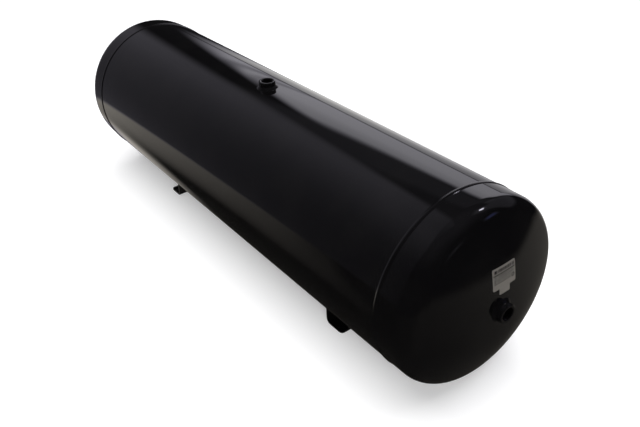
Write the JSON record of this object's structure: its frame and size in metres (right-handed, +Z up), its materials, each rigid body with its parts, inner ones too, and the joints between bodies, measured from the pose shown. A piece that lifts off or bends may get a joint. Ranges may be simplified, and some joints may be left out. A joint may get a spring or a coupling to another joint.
{
  "type": "air receiver tank",
  "caption": "Horizontal welded steel air receiver: cylindrical shell with dished heads, round threaded port bosses, two bolt-down feet and a rating label, gloss black.",
  "frame": {"origin": "on the floor plane of the feet, below the middle of the tank", "axes": "+X along the tank towards the labelled front head, +Z up through the top port"},
  "size_m": [1.1678, 0.3128, 0.342],
  "materials": {
    "vessel_paint": "gloss black enamel",
    "weld_paint": "gloss black enamel over weld ripples",
    "boss_paint": "gloss black enamel over turned steel",
    "foot_paint": "gloss black enamel over bent plate",
    "label_foil": "satin printed foil"
  },
  "bodies": {
    "root": {"shell": "vessel_paint", "front_head": "vessel_paint", "rear_head": "vessel_paint", "front_girth_weld": "weld_paint", "rear_girth_weld": "weld_paint", "seam_weld": "weld_paint", "top_port_boss": "boss_paint", "drain_port_boss": "boss_paint", "front_port_boss": "boss_paint", "rear_port_boss": "boss_paint", "top_boss_weld": "weld_paint", "drain_boss_weld": "weld_paint", "front_boss_weld": "weld_paint", "rear_boss_weld": "weld_paint", "front_foot": "foot_paint", "rear_foot": "foot_paint", "front_foot_weld_left": "weld_paint", "front_foot_weld_right": "weld_paint", "rear_foot_weld_left": "weld_paint", "rear_foot_weld_right": "weld_paint", "rating_label": "label_foil"}
  },
  "joints": []
}
